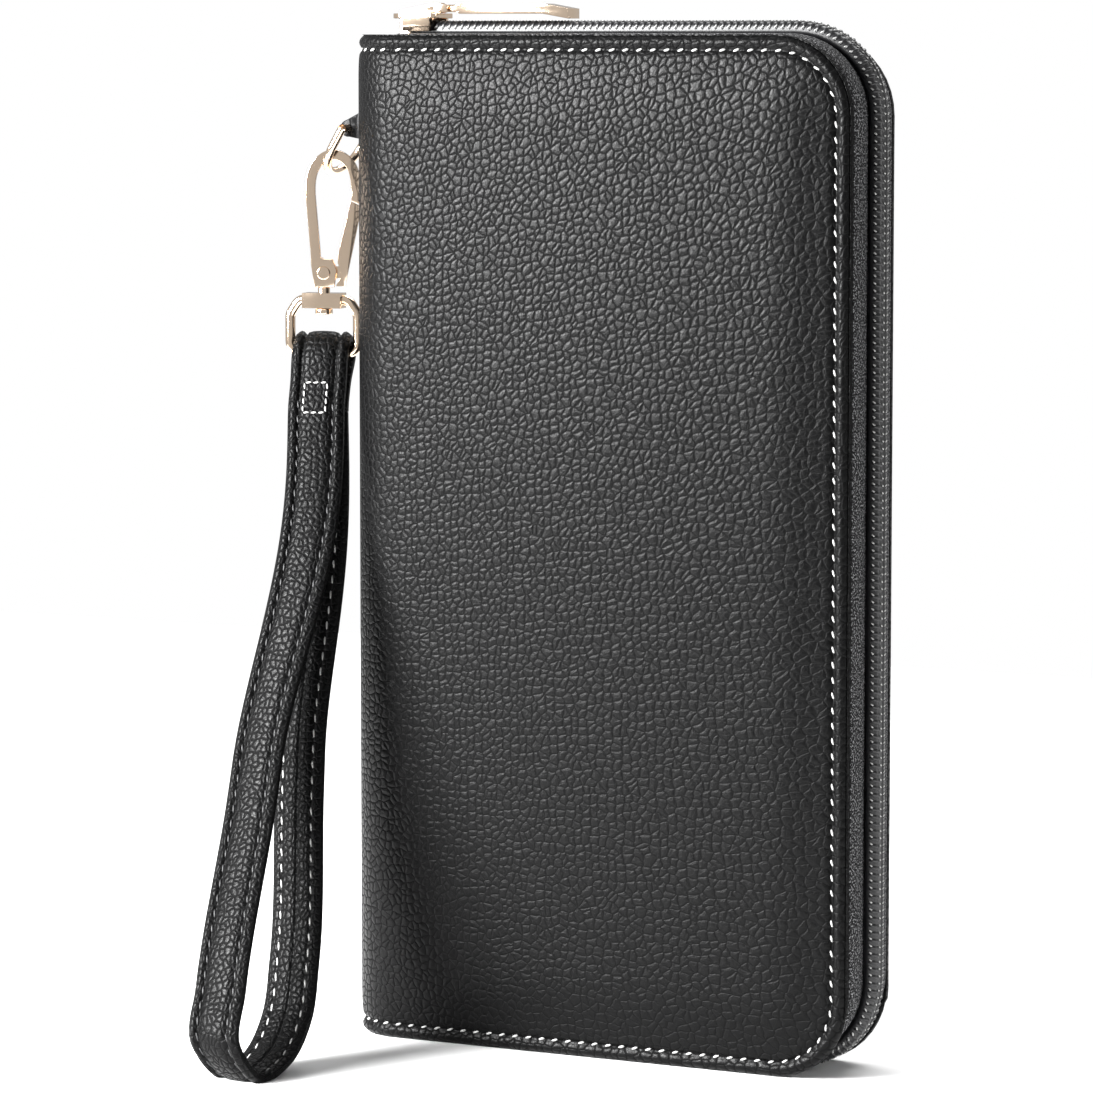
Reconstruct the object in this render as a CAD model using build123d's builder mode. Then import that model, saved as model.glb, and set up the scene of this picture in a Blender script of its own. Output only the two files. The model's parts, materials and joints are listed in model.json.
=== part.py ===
from build123d import *
import math
import os

os.makedirs("parts", exist_ok=True)

# Frame, in millimetres. Z is up and the wallet stands on its short edge at z = 0.
# X = 0 is the axis of the half-round spine and +X points to the zipped edge.
# Y = 0 is the middle plane between the two covers; the front cover is at -Y.

# Driving sizes
HEIGHT = 205.0
THICKNESS = 22.0
COVER_EDGE = 101.4
CORNER_R = 16.0
LEATHER = 1.1
PADDING = 0.8
BOARD = 0.8
LINING = 0.7

SPINE_R = THICKNESS / 2
RIM = LEATHER + 0.1
LEATHER_IN = SPINE_R - LEATHER
PADDING_IN = LEATHER_IN - PADDING
BOARD_IN = PADDING_IN - BOARD
LINING_IN = BOARD_IN - LINING

# The zip: its tape and coil follow the three free edges
ZIP_EDGE = COVER_EDGE + 0.5
ZIP_LOW = 3.0
ZIP_HIGH = HEIGHT + 0.3
TAPE = 0.9
COIL_HEIGHT = 2.7
COIL_IN = 0.15
COIL_OUT = 2.7
ZIP_START_R = 17.4

# The pockets inside
CARD = 0.6
CARD_COLUMNS = ((7.0, 101.5), (103.5, 198.0))
CARD_EDGES = (90.0, 78.0, 66.0, 54.0)
CARD_LEFT = 4.0
ORGANISER_HALF = 3.2
ORGANISER_LOW = 6.0
ORGANISER_HIGH = 198.0
COIN_WALL = 0.8
COIN_EDGE = 78.0

# The hook, the ring and the strap stand on one upright axis beside the spine
HOOK_X = -20.2
HOOK_Y = -2.15
HOOK_TURN = 27.1
STRAP_TURN = 13.0

SIDES = {"front": -1, "back": 1}


def save(piece, name):
    """Name a finished piece and write it."""
    piece.part.label = name
    export_step(piece.part, f"parts/{name}.step")
    print(name, round(piece.part.volume, 1), "mm3", len(piece.part.solids()), "solid")


def span(side, near, far):
    """The low and high Y of a layer whose faces are near and far from the middle plane."""
    return min(side * near, side * far), max(side * near, side * far)


def rounded_panel(left, right, low, high, radius):
    """A panel's outline with its two free corners rounded."""
    with Locations(((left + right) / 2, (low + high) / 2)):
        Rectangle(right - left, high - low)
    fillet(vertices().group_by(Axis.X)[-1], radius=radius)


def layer(left, right, low, high, radius, y_low, y_high, mode=Mode.ADD):
    """A flat layer between two Y values, in the open part."""
    with BuildSketch(Plane.XZ.offset(-y_high)) as outline:
        rounded_panel(left, right, low, high, radius)
    extrude(outline.sketch, amount=y_high - y_low, mode=mode)


def panel(name, left, right, low, high, radius, y_low, y_high):
    """A flat layer that is a piece of its own."""
    with BuildPart() as piece:
        layer(left, right, low, high, radius, y_low, y_high)
    save(piece, name)


# Covers: a leather tray on each side, with padding, board and lining inside its rim
def cover_leather(name, side):
    y_low, y_high = span(side, LINING_IN, SPINE_R)
    well_low, well_high = span(side, LINING_IN, LEATHER_IN)
    with BuildPart() as piece:
        layer(0, COVER_EDGE, 0, HEIGHT, CORNER_R, y_low, y_high)
        layer(0, COVER_EDGE - RIM, RIM, HEIGHT - RIM, CORNER_R - RIM, well_low, well_high, Mode.SUBTRACT)
    save(piece, name)


def inset_layer(name, side, near, far):
    y_low, y_high = span(side, near, far)
    panel(name, 0, COVER_EDGE - RIM, RIM, HEIGHT - RIM, CORNER_R - RIM, y_low, y_high)


# Zip: one tape and one row of coil on each side, bent round the two free corners
def zip_band(name, side, near, far, inner, outer, start):
    """A band that follows the free edges, from inner to outer away from the zip line."""
    y_low, y_high = span(side, near, far)
    with BuildPart() as piece:
        layer(start, ZIP_EDGE + outer, ZIP_LOW - outer, ZIP_HIGH + outer, CORNER_R + outer, y_low, y_high)
        layer(start, ZIP_EDGE + inner, ZIP_LOW - inner, ZIP_HIGH + inner, CORNER_R + inner,
              y_low, y_high, Mode.SUBTRACT)
        if side > 0:
            clear_of_slider()
    save(piece, name)


def clear_of_slider():
    """Cut the back band away where the parked slider swings past with the front cover."""
    with BuildSketch(Plane.XY.offset(HEIGHT - CORNER_R)) as swing:
        with Locations((0, -SPINE_R)):
            Circle(ZIP_START_R)
    extrude(swing.sketch, amount=2 * CORNER_R, mode=Mode.SUBTRACT)


for cover, side in SIDES.items():
    cover_leather(f"{cover}_cover_leather", side)
    inset_layer(f"{cover}_padding", side, PADDING_IN, LEATHER_IN)
    inset_layer(f"{cover}_board", side, BOARD_IN, PADDING_IN)
    inset_layer(f"{cover}_lining", side, LINING_IN, BOARD_IN)
    zip_band(f"{cover}_zip_tape", side, COIL_IN, LINING_IN, -TAPE, 0, 0)
    zip_band(f"{cover}_zip_coil", side, COIL_IN, COIL_OUT, 0, COIL_HEIGHT, 0)
    for column, (low, high) in zip(("lower", "upper"), CARD_COLUMNS):
        for step, edge in enumerate(CARD_EDGES):
            y_low, y_high = span(side, LINING_IN - (step + 1) * CARD, LINING_IN - step * CARD)
            panel(f"{cover}_{column}_card_slot_{step + 1}", CARD_LEFT, edge, low, high, 3.0, y_low, y_high)


# Spine: a half-round skin and lining between the covers, closed at both ends
def spine_shell(name, outer, inner, low, high):
    with BuildPart() as piece:
        with BuildSketch(Plane.XY.offset(low)):
            Circle(outer)
            Circle(inner, mode=Mode.SUBTRACT)
            with Locations((outer, 0)):
                Rectangle(2 * outer, 4 * outer, mode=Mode.SUBTRACT)
        extrude(amount=high - low)
    save(piece, name)


def end_patch(name, low, high, reach):
    with BuildPart() as piece:
        with BuildSketch(Plane.XY.offset(low)):
            Circle(reach)
            with Locations((reach, 0)):
                Rectangle(2 * reach, 4 * reach, mode=Mode.SUBTRACT)
        extrude(amount=high - low)
    save(piece, name)


SPINE_LINING_IN = LEATHER_IN - LINING
PATCH = 1.0
spine_shell("spine_leather", SPINE_R, LEATHER_IN, 0, HEIGHT)
spine_shell("spine_lining", LEATHER_IN, SPINE_LINING_IN, 1.0, HEIGHT - 1.0)
end_patch("spine_top_patch", ORGANISER_HIGH + 1.0, ORGANISER_HIGH + 1.0 + PATCH, SPINE_LINING_IN)
end_patch("spine_bottom_patch", ORGANISER_LOW - 1.0 - PATCH, ORGANISER_LOW - 1.0, SPINE_LINING_IN)

# Organiser: the middle leaf, a zipped coin pocket held in the spine
COIN_IN = ORGANISER_HALF - COIN_WALL
ORGANISER_LEFT = -SPINE_LINING_IN + 0.8


def coin_wall(name, side):
    y_low, y_high = span(side, COIN_IN, ORGANISER_HALF)
    panel(name, ORGANISER_LEFT, COIN_EDGE, ORGANISER_LOW, ORGANISER_HIGH, 5.0, y_low, y_high)


coin_wall("coin_pocket_front_wall", -1)
coin_wall("coin_pocket_back_wall", 1)

with BuildPart() as coin_gusset:
    layer(ORGANISER_LEFT, COIN_EDGE, ORGANISER_LOW, ORGANISER_HIGH, 5.0, -COIN_IN, COIN_IN)
    layer(ORGANISER_LEFT + 1.0, COIN_EDGE + 1.0, ORGANISER_LOW + 1.0, ORGANISER_HIGH - 1.0, 1.0,
          -COIN_IN, COIN_IN, Mode.SUBTRACT)
save(coin_gusset, "coin_pocket_gusset")

with BuildPart() as organiser_strip:
    with BuildSketch(Plane.XY.offset(ORGANISER_LOW)):
        Circle(SPINE_LINING_IN)
        with Locations((ORGANISER_LEFT + SPINE_LINING_IN, 0)):
            Rectangle(2 * SPINE_LINING_IN, 2 * SPINE_LINING_IN, mode=Mode.SUBTRACT)
    extrude(amount=ORGANISER_HIGH - ORGANISER_LOW)
save(organiser_strip, "organiser_strip")

COIN_TAPE_EDGE = COIN_EDGE + 3.6
COIN_COIL_EDGE = COIN_TAPE_EDGE + 1.8
COIN_ZIP_LOW = 14.0
COIN_ZIP_HIGH = 190.0
COIN_COIL_HALF = 1.2


def coin_bar(name, left, right, y_low, y_high):
    with BuildPart() as piece:
        with BuildSketch(Plane.XZ.offset(-y_high)):
            with Locations(((left + right) / 2, (COIN_ZIP_LOW + COIN_ZIP_HIGH) / 2)):
                Rectangle(right - left, COIN_ZIP_HIGH - COIN_ZIP_LOW)
        extrude(amount=y_high - y_low)
    save(piece, name)


coin_bar("coin_zip_front_tape", COIN_EDGE - 4.0, COIN_TAPE_EDGE, -0.8, -0.1)
coin_bar("coin_zip_back_tape", COIN_EDGE - 4.0, COIN_TAPE_EDGE, 0.1, 0.8)
coin_bar("coin_zip_coil", COIN_TAPE_EDGE, COIN_COIL_EDGE, -COIN_COIL_HALF, COIN_COIL_HALF)

# Coin zip slider: a short channel on the coil, with a small pull hanging from it
COIN_SLIDER_TOP = 186.0
COIN_SLIDER_LONG = 7.0
COIN_SLIDER_HALF = 2.3
COIN_SLIDER_LEFT = COIN_TAPE_EDGE - 1.2
COIN_SLIDER_RIGHT = COIN_COIL_EDGE + 1.2
COIN_PIN_X = COIN_SLIDER_RIGHT + 0.9
COIN_PIN_Z = COIN_SLIDER_TOP - COIN_SLIDER_LONG / 2
COIN_PIN_R = 0.5
COIN_CHANNEL = COIN_COIL_HALF + 0.15
COIN_MOUTH = 0.95

with BuildPart() as coin_slider:
    with Locations(((COIN_SLIDER_LEFT + COIN_SLIDER_RIGHT) / 2, 0, COIN_PIN_Z)):
        Box(COIN_SLIDER_RIGHT - COIN_SLIDER_LEFT, 2 * COIN_SLIDER_HALF, COIN_SLIDER_LONG)
    with Locations(((COIN_TAPE_EDGE + COIN_COIL_EDGE) / 2, 0, COIN_PIN_Z)):
        Box(COIN_COIL_EDGE - COIN_TAPE_EDGE + 0.4, 2 * COIN_CHANNEL, 2 * COIN_SLIDER_LONG, mode=Mode.SUBTRACT)
    with Locations((COIN_SLIDER_LEFT, 0, COIN_PIN_Z)):
        Box(3.0, 2 * COIN_MOUTH, 2 * COIN_SLIDER_LONG, mode=Mode.SUBTRACT)
    with Locations((COIN_PIN_X - 0.2, 0, COIN_PIN_Z)):
        Box(1.9, 1.2, 2.2)
    with Locations((COIN_PIN_X, 0, COIN_PIN_Z)):
        Cylinder(COIN_PIN_R + 0.05, 3.0, rotation=(90, 0, 0), mode=Mode.SUBTRACT)
save(coin_slider, "coin_zip_slider")

COIN_PULL_LONG = 16.0
with BuildPart() as coin_pull:
    with Locations((COIN_PIN_X, 0, COIN_PIN_Z)):
        Cylinder(COIN_PIN_R, 3.6, rotation=(90, 0, 0))
    for ear in (-1, 1):
        with Locations((COIN_PIN_X, ear * 1.3, COIN_PIN_Z - 1.25)):
            Box(1.2, 1.0, 3.5)
    with Locations((COIN_PIN_X, 0, COIN_PIN_Z - 3.0 - COIN_PULL_LONG / 2)):
        Box(1.2, 3.6, COIN_PULL_LONG)
save(coin_pull, "coin_zip_pull")

# Main zip slider: two plates round the coil, joined by a thin fin that runs between the two rows
SLIDER_LEFT = -3.8
SLIDER_RIGHT = 7.0
SLIDER_HALF = 4.2
CREST = ZIP_HIGH + COIL_HEIGHT
PLATE = 1.0
TOP_PLATE = CREST + 0.3
LOW_PLATE = ZIP_HIGH - TAPE - 0.4
FLANGE_IN = 3.2
POST_HALF = 0.12
EYE_X = 6.3
EYE_Z = TOP_PLATE + 2.0
EYE_R = 0.95
PIN_R = 0.55
PIN_GAP = 0.05
SLIDER_MID = (SLIDER_LEFT + SLIDER_RIGHT) / 2
SLIDER_LONG = SLIDER_RIGHT - SLIDER_LEFT


def slider_plate(low, high):
    with BuildSketch(Plane.XY.offset(low)) as plate:
        with Locations((SLIDER_MID, 0)):
            Rectangle(SLIDER_LONG, 2 * SLIDER_HALF)
        fillet(vertices().group_by(Axis.X)[0], radius=3.0)
        fillet(vertices().group_by(Axis.X)[-1], radius=1.2)
    extrude(plate.sketch, amount=high - low)


with BuildPart() as slider_body:
    slider_plate(TOP_PLATE, TOP_PLATE + PLATE)
    slider_plate(LOW_PLATE - PLATE, LOW_PLATE)
    with BuildSketch(Plane.XY.offset(LOW_PLATE)):
        with Locations((SLIDER_LEFT + 1.9, 0)):
            Rectangle(3.0, 2 * POST_HALF)
    extrude(amount=TOP_PLATE - LOW_PLATE)
    for side in SIDES.values():
        with Locations((SLIDER_MID + 0.9, side * (FLANGE_IN + SLIDER_HALF) / 2, TOP_PLATE - 1.3)):
            Box(SLIDER_LONG - 4.6, SLIDER_HALF - FLANGE_IN, 2.6)
save(slider_body, "slider_body")

with BuildPart() as slider_bail:
    with BuildSketch(Plane.XZ.offset(-1.2)):
        with BuildLine():
            Polyline(
                (-3.0, TOP_PLATE + PLATE),
                (-2.6, TOP_PLATE + PLATE + 0.6),
                (5.4, EYE_Z + 1.1),
                (EYE_X, EYE_Z + 1.1),
                (EYE_X, EYE_Z - 0.6),
                (4.4, EYE_Z - 0.8),
                (3.4, TOP_PLATE + PLATE),
                close=True,
            )
        make_face()
        with Locations((EYE_X, EYE_Z)):
            Circle(EYE_R)
            Circle(PIN_R + PIN_GAP, mode=Mode.SUBTRACT)
    extrude(amount=2.4)
save(slider_bail, "slider_bail")

# Pull: a short link on the slider's eye, then a flat bar with a bent tip
LINK_HALF = 2.3
EAR_IN = 1.35
CROSSBAR_X = EYE_X + 2.0
LINK_X = 10.4
LINK_Z = EYE_Z - 0.1
TAB_TOP = 1.0

with BuildPart() as pull_link:
    for side in SIDES.values():
        with Locations(((EYE_X + CROSSBAR_X) / 2, side * (EAR_IN + LINK_HALF) / 2, EYE_Z)):
            Box(CROSSBAR_X - EYE_X, LINK_HALF - EAR_IN, 1.5)
        with Locations((EYE_X, side * (EAR_IN + LINK_HALF) / 2, EYE_Z)):
            Cylinder(0.8, LINK_HALF - EAR_IN, rotation=(90, 0, 0))
    with Locations((EYE_X, 0, EYE_Z)):
        Cylinder(PIN_R, 2 * LINK_HALF, rotation=(90, 0, 0))
    with Locations((CROSSBAR_X, 0, EYE_Z)):
        Box(0.9, 2 * LINK_HALF, 1.5)
    with Locations(((CROSSBAR_X + LINK_X) / 2, 0, LINK_Z)):
        Box(LINK_X - CROSSBAR_X, 1.8, 1.2)
    with Locations((LINK_X, 0, LINK_Z)):
        Cylinder(0.85, 1.8, rotation=(90, 0, 0))
        Cylinder(PIN_R + PIN_GAP, 4.0, rotation=(90, 0, 0), mode=Mode.SUBTRACT)
save(pull_link, "pull_link")

TAB_END = 30.4
TIP_END = 36.2
TIP_DROP = 1.0
with BuildPart() as pull_bar:
    with BuildSketch(Plane.XZ.offset(-2.6)):
        with BuildLine():
            Polyline(
                (11.6, LINK_Z - TAB_TOP),
                (11.6, LINK_Z + TAB_TOP),
                (TAB_END, LINK_Z + TAB_TOP),
                (TIP_END, LINK_Z + TAB_TOP - TIP_DROP),
                (TIP_END, LINK_Z - TAB_TOP - TIP_DROP),
                (TAB_END, LINK_Z - TAB_TOP),
                close=True,
            )
        make_face()
    extrude(amount=5.2)
    for side in SIDES.values():
        with Locations(((LINK_X + 11.6) / 2, side * 1.75, LINK_Z)):
            Box(11.6 - LINK_X + 1.4, 1.3, 1.2)
    with Locations((LINK_X, 0, LINK_Z)):
        Cylinder(PIN_R, 4.8, rotation=(90, 0, 0))
save(pull_bar, "pull_bar")

# Ring tab and ring: a folded leather tab on the spine holds the ring's straight bar
BAR_X = -13.5
BAR_Z = 186.0
RING_WIRE = 0.88
RING_R = 6.2
RING_DROP_X = -18.9
RING_DROP_Z = 177.1
RING_LONG = math.dist((BAR_X, BAR_Z), (RING_DROP_X, RING_DROP_Z))
TAB_HALF = 4.2

with BuildPart() as ring_tab:
    with BuildSketch(Plane.XZ.offset(-TAB_HALF)):
        with Locations((BAR_X, BAR_Z)):
            Circle(2.0)
        with BuildLine():
            Polyline(
                (BAR_X, BAR_Z + 2.0),
                (BAR_X - 1.2, BAR_Z + 1.6),
                (-SPINE_R, BAR_Z + 4.0),
                (-SPINE_R, BAR_Z - 1.2),
                (BAR_X, BAR_Z - 2.0),
                close=True,
            )
        make_face()
        with Locations((BAR_X, BAR_Z)):
            Circle(RING_WIRE + 0.06, mode=Mode.SUBTRACT)
    extrude(amount=2 * TAB_HALF)
    with BuildSketch(Plane.XY.offset(BAR_Z - 10)):
        Circle(SPINE_R)
    extrude(amount=30, mode=Mode.SUBTRACT)
save(ring_tab, "ring_tab")

ring_plane = Plane(
    origin=(BAR_X, 0, BAR_Z),
    x_dir=(0, 1, 0),
    z_dir=(RING_DROP_Z - BAR_Z, 0, BAR_X - RING_DROP_X),
)
# In this plane the first axis is +Y; the second one points up or down the drop
RING_WAY = 1 if ring_plane.y_dir.Z < 0 else -1

with BuildPart() as d_ring:
    with BuildLine(ring_plane) as ring_line:
        Polyline(
            (-RING_R, RING_WAY * (RING_LONG - RING_R)),
            (-RING_R, 0),
            (RING_R, 0),
            (RING_R, RING_WAY * (RING_LONG - RING_R)),
        )
        ThreePointArc(
            (RING_R, RING_WAY * (RING_LONG - RING_R)),
            (0, RING_WAY * RING_LONG),
            (-RING_R, RING_WAY * (RING_LONG - RING_R)),
        )
    with BuildSketch(Plane(origin=ring_line.line @ 0, z_dir=ring_line.line % 0)):
        Circle(RING_WIRE)
    sweep(path=ring_line.line, transition=Transition.ROUND)
save(d_ring, "d_ring")

# Hook: a flat body curved over the ring, with a lever gate on a rivet
turn = math.radians(HOOK_TURN)
hook_plane = Plane(
    origin=(HOOK_X, HOOK_Y, 0),
    x_dir=(math.cos(turn), math.sin(turn), 0),
    z_dir=(math.sin(turn), -math.cos(turn), 0),
)
HOOK_DEPTH = 3.1
BAND = 2.0
RIVET_U = 0.0
RIVET_Z = 156.3
BODY_LOW = 153.4
SHOULDER = 159.1
NOSE_Z = 169.6
NOSE_REACH = 15.9
GATE_REACH = 15.65
GATE_R = 3.5
SLOT = 1.9


def hook_sketch(depth):
    """The hook's upright plane, moved so that an extrusion by depth is centred on it."""
    return hook_plane.offset(-depth / 2)


# The gate's tip sweeps an arc round the rivet, and the hook's nose ends outside it
with BuildSketch(mode=Mode.PRIVATE) as gate_path:
    with Locations((RIVET_U, RIVET_Z)):
        Circle(NOSE_REACH)
    with Locations((9.8, NOSE_Z)):
        Rectangle(11.0, 12.0, mode=Mode.INTERSECT)

with BuildPart() as hook_body:
    with BuildSketch(hook_sketch(HOOK_DEPTH)):
        with BuildLine() as hook_line:
            Spline(
                (-1.6, SHOULDER - 1.0),
                (-1.9, 163.5),
                (-2.5, 170.5),
                (-2.5, 175.6),
                (-1.2, 178.8),
                (1.9, 180.6),
                (5.2, 179.0),
                (6.6, 175.2),
                (6.7, NOSE_Z),
            )
        trace(hook_line.line, line_width=BAND)
        add(gate_path.sketch, mode=Mode.SUBTRACT)
        with BuildLine():
            Polyline(
                (-1.9, BODY_LOW),
                (-2.6, SHOULDER - 1.0),
                (-2.5, SHOULDER + 0.4),
                (-0.5, SHOULDER + 0.4),
                (0.2, SHOULDER),
                (1.8, SHOULDER),
                (2.7, SHOULDER - 2.2),
                (2.2, BODY_LOW),
                close=True,
            )
        make_face()
    extrude(amount=HOOK_DEPTH)
    with BuildSketch(hook_sketch(SLOT)):
        with Locations((RIVET_U, RIVET_Z)):
            Circle(2.2)
        with Locations((RIVET_U + 2.0, RIVET_Z + 1.0)):
            Rectangle(4.0, 5.0)
    extrude(amount=SLOT, mode=Mode.SUBTRACT)
    with BuildSketch(hook_sketch(3 * HOOK_DEPTH)):
        with Locations((RIVET_U, RIVET_Z)):
            Circle(0.7)
    extrude(amount=3 * HOOK_DEPTH, mode=Mode.SUBTRACT)
save(hook_body, "hook_body")

with BuildPart() as hook_gate:
    with BuildSketch(hook_sketch(HOOK_DEPTH)):
        with BuildLine():
            Polyline(
                (5.8, NOSE_Z + 2.0),
                (7.7, NOSE_Z + 2.0),
                (7.4, NOSE_Z - 1.8),
                (4.4, BODY_LOW + 0.2),
                (2.6, BODY_LOW + 0.2),
                (3.0, SHOULDER + 1.2),
                close=True,
            )
        make_face()
        with Locations((RIVET_U, RIVET_Z)):
            Circle(GATE_REACH, mode=Mode.INTERSECT)
            Circle(GATE_R, mode=Mode.SUBTRACT)
    extrude(amount=HOOK_DEPTH)
    with BuildSketch(hook_sketch(SLOT - 0.2)):
        with BuildLine():
            Polyline(
                (RIVET_U, RIVET_Z - 1.3),
                (4.0, RIVET_Z - 1.0),
                (4.4, RIVET_Z + 1.4),
                (RIVET_U, RIVET_Z + 1.3),
                close=True,
            )
        make_face()
        with Locations((RIVET_U, RIVET_Z)):
            Circle(1.7)
            Circle(0.75, mode=Mode.SUBTRACT)
    extrude(amount=SLOT - 0.2)
save(hook_gate, "hook_gate")

with BuildPart() as hook_rivet:
    with BuildSketch(hook_sketch(HOOK_DEPTH + 0.8)):
        with Locations((RIVET_U, RIVET_Z)):
            Circle(0.7)
    extrude(amount=HOOK_DEPTH + 0.8)
    for head in (hook_sketch(HOOK_DEPTH + 0.8), hook_sketch(-HOOK_DEPTH)):
        with BuildSketch(head):
            with Locations((RIVET_U, RIVET_Z)):
                Circle(1.35)
        extrude(amount=0.4)
save(hook_rivet, "hook_rivet")

# Swivel: the post hangs from the hook and turns in the strap ring's block
BLOCK_LOW = 149.1
BLOCK_HIGH = 152.2
POST_R = 1.25
with BuildPart() as swivel_post:
    with Locations((HOOK_X, HOOK_Y, (BLOCK_LOW - 0.1 + BODY_LOW) / 2)):
        Cylinder(POST_R, BODY_LOW - BLOCK_LOW + 0.1)
    with Locations((HOOK_X, HOOK_Y, BLOCK_LOW - 0.7)):
        Cylinder(1.8, 1.2)
save(swivel_post, "swivel_post")

strap_turn = math.radians(STRAP_TURN)
strap_ring_plane = Plane(
    origin=(HOOK_X, HOOK_Y, 0),
    x_dir=(math.cos(strap_turn), math.sin(strap_turn), 0),
    z_dir=(math.sin(strap_turn), -math.cos(strap_turn), 0),
)
EYE_HALF = 7.25
EYE_LOW = 139.9
EYE_WIRE = 1.05
BLOCK_HALF = 4.1
BLOCK_DEPTH = 4.4

with BuildPart() as strap_ring:
    with BuildLine(strap_ring_plane) as eye_line:
        FilletPolyline(
            (-BLOCK_HALF + 0.3, 150.8),
            (-EYE_HALF + 2.0, 150.8),
            (-EYE_HALF, 147.8),
            (-EYE_HALF, EYE_LOW),
            (EYE_HALF, EYE_LOW),
            (EYE_HALF, 147.8),
            (EYE_HALF - 2.0, 150.8),
            (BLOCK_HALF - 0.3, 150.8),
            radius=2.4,
        )
    with BuildSketch(Plane(origin=eye_line.line @ 0, z_dir=eye_line.line % 0)):
        Circle(EYE_WIRE)
    sweep(path=eye_line.line)
    with BuildSketch(strap_ring_plane.offset(-BLOCK_DEPTH / 2)):
        with Locations((0, (BLOCK_LOW + BLOCK_HIGH) / 2)):
            Rectangle(2 * BLOCK_HALF, BLOCK_HIGH - BLOCK_LOW)
    extrude(amount=BLOCK_DEPTH)
    with Locations((HOOK_X, HOOK_Y, (BLOCK_LOW + BLOCK_HIGH) / 2)):
        Cylinder(POST_R + 0.06, 8.0, mode=Mode.SUBTRACT)
save(strap_ring, "strap_ring")

# Wrist strap: two plies that fold over the ring's bar, lean forward to the floor and twist a little
STRAP_WIDE = 11.8
PLY = 1.1
FOLD_Z = 140.5
FOLD_MID = 1.5 + PLY
STRAP_LOW_TURN = -8.4
TWIST_LOW = 60.0
TWIST_HIGH = 125.0
STRAP_DRIFT = 19.8
DRIFT_TOP = 130.0
DRIFT_DROP = 117.0
STATIONS = 72

# The middle line, drawn flat: the distance in front of the hook, then the height
with BuildLine() as strap_route:
    Spline(
        (3.5, 127.8),
        (1.0, 134.0),
        (-FOLD_MID, FOLD_Z),
        (0, FOLD_Z + FOLD_MID),
        (FOLD_MID, FOLD_Z),
        (4.3, 134.0),
        (7.6, 125.0),
        (22.5, 92.0),
        (41.5, 52.0),
        (60.5, 18.0),
        (65.0, 8.0),
        (60.0, PLY),
        (50.0, 2.8),
        (42.0, 9.5),
        (36.5, 20.0),
        (26.0, 52.0),
        (13.5, 92.0),
        (4.3, 126.4),
    )


def strap_angle(height):
    """The strap's turn at a height: square to the ring at the top, and turned back lower down."""
    rise = min(max((height - TWIST_LOW) / (TWIST_HIGH - TWIST_LOW), 0), 1)
    share = rise * rise * (3 - 2 * rise)
    return math.radians(STRAP_LOW_TURN + (STRAP_TURN - STRAP_LOW_TURN) * share)


def strap_place(position):
    """The middle line's point in space at a share of its length."""
    flat = strap_route.line @ position
    angle = strap_angle(flat.Y)
    drift = STRAP_DRIFT * (max(DRIFT_TOP - flat.Y, 0) / DRIFT_DROP) ** 1.2
    return Vector(HOOK_X + flat.X * math.sin(angle) + drift, HOOK_Y - flat.X * math.cos(angle), flat.Y)


def strap_ply(name, shift):
    """One ply of the strap, lofted beside the strap's middle line."""
    step = 0.1 / STATIONS
    cuts = []
    for station in range(STATIONS + 1):
        position = station / STATIONS
        along = strap_place(min(position + step, 1)) - strap_place(max(position - step, 0))
        angle = strap_angle((strap_route.line @ position).Y)
        section = Plane(
            origin=strap_place(position),
            x_dir=(math.cos(angle), math.sin(angle), 0),
            z_dir=along,
        )
        with BuildSketch(section) as cut:
            with Locations((0, shift)):
                Rectangle(STRAP_WIDE, PLY)
        cuts.append(cut.sketch)
    with BuildPart() as piece:
        loft(sections=cuts)
    save(piece, name)


strap_ply("strap_outer_ply", PLY / 2)
strap_ply("strap_inner_ply", -PLY / 2)
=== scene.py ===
# %% [markdown]
# A zip around wallet with a wrist strap. Its metal parts come from the CAD model, and the soft
# parts are built here around them: two padded leather covers, a woven zip tape with its coil,
# and a strap folded over a ring. Sizes are kept in millimetres in the helpers below, and are
# turned into metres when a mesh is made.

# %% The frame
import bpy
import bmesh
import json
import math
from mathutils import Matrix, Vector


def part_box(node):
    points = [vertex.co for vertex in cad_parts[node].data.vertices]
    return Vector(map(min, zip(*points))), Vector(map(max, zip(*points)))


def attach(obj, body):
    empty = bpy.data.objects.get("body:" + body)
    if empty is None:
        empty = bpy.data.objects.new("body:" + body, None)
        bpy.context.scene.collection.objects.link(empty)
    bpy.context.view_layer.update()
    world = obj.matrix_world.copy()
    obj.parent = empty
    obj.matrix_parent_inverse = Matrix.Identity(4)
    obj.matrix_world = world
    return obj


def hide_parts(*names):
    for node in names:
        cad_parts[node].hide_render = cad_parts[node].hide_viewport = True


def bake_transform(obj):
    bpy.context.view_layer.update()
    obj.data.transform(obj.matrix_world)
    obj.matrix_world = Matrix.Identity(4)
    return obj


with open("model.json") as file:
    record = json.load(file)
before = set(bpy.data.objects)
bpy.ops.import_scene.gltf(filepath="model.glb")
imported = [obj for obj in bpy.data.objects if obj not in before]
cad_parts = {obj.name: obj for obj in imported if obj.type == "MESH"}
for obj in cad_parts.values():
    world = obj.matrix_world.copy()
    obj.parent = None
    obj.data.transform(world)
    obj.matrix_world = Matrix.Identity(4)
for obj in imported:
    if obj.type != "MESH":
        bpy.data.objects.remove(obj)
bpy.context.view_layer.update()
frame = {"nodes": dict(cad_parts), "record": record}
MM = 0.001


def node_box(name):
    """A CAD node's lowest and highest corner, in millimetres."""
    low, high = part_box(name)
    return low / MM, high / MM


spine_low, spine_high = node_box("spine_leather")
cover_high = node_box("front_cover_leather")[1]
tape_low, tape_high = node_box("front_zip_tape")
SPINE_R = (spine_high.y - spine_low.y) / 2
HEIGHT = spine_high.z
EDGE = cover_high.x
CORNER = 16.0
print("spine radius", SPINE_R, "height", HEIGHT, "cover edge", EDGE)

# %% [markdown]
# Materials are built from nodes. A small helper adds a node and fills its inputs: a value is set
# on the socket, and another node's output is linked to it.

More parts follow.
